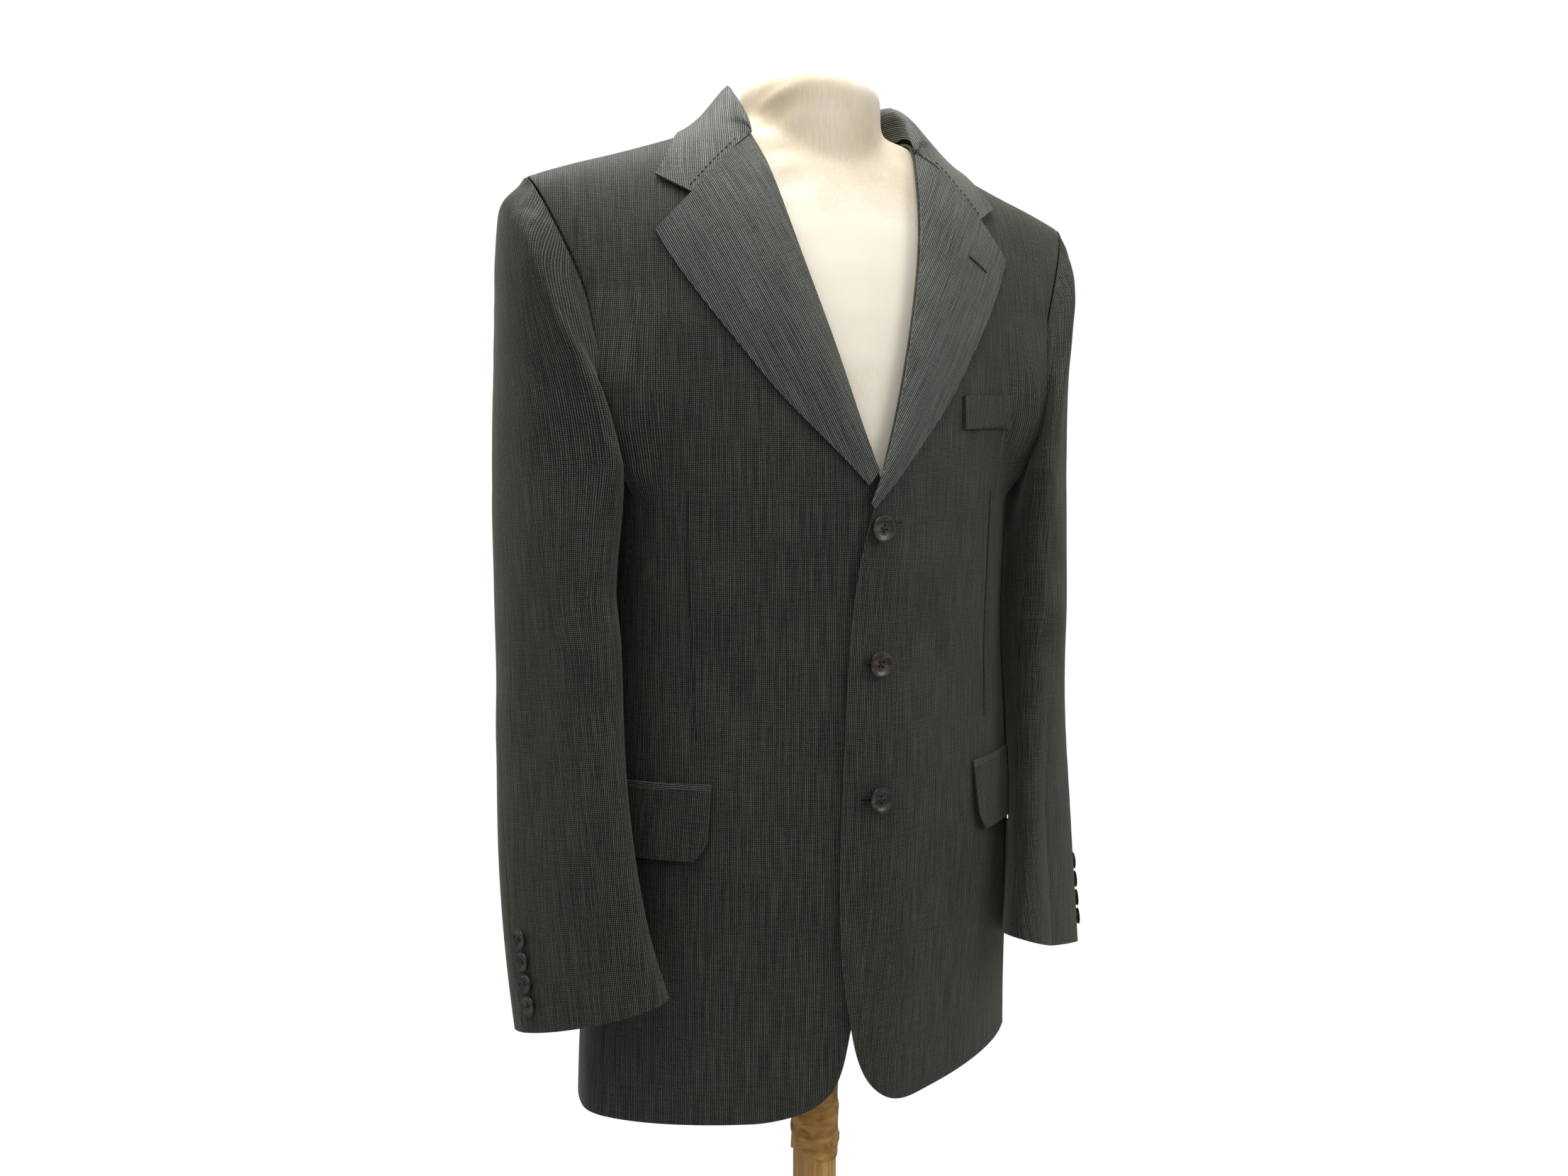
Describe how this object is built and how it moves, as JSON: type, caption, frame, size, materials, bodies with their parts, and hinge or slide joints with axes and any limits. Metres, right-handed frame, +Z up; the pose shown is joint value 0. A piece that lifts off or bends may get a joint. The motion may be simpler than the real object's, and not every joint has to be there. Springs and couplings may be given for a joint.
{
  "type": "single-breasted suit jacket on dress form",
  "caption": "Single-breasted notch-lapel suit jacket in charcoal wool, buttoned on a limbless ivory dress form with a wooden pole and round base.",
  "frame": {"origin": "on the floor under the middle of the round base, on the pole's axis", "axes": "+Z up along the pole, -Y the way the jacket's front faces, +X the wearer's left"},
  "size_m": [0.5244, 0.42, 1.5],
  "materials": {
    "wool": "fine worsted wool, charcoal with lighter flecks, slight sheen",
    "horn": "dark brown horn, satin",
    "jersey": "ivory cotton jersey, matte",
    "pale_wood": "pale turned wood, satin varnish",
    "wrap_paper": "creased brown paper"
  },
  "bodies": {
    "root": {"front_left": "wool", "front_right": "wool", "side_left": "wool", "side_right": "wool", "back_left": "wool", "back_right": "wool", "top_sleeve_left": "wool", "top_sleeve_right": "wool", "under_sleeve_left": "wool", "under_sleeve_right": "wool", "collar": "wool", "lapel_left": "wool", "lapel_right": "wool", "breast_welt": "wool", "flap_left": "wool", "flap_right": "wool", "jet_left": "wool", "jet_right": "wool", "button_1": "horn", "button_2": "horn", "button_3": "horn", "cuff_button_left_1": "horn", "cuff_button_left_2": "horn", "cuff_button_left_3": "horn", "cuff_button_left_4": "horn", "cuff_button_right_1": "horn", "cuff_button_right_2": "horn", "cuff_button_right_3": "horn", "cuff_button_right_4": "horn", "form_torso": "jersey", "pole": "pale_wood", "base": "pale_wood", "pole_wrap": "wrap_paper"}
  },
  "joints": []
}
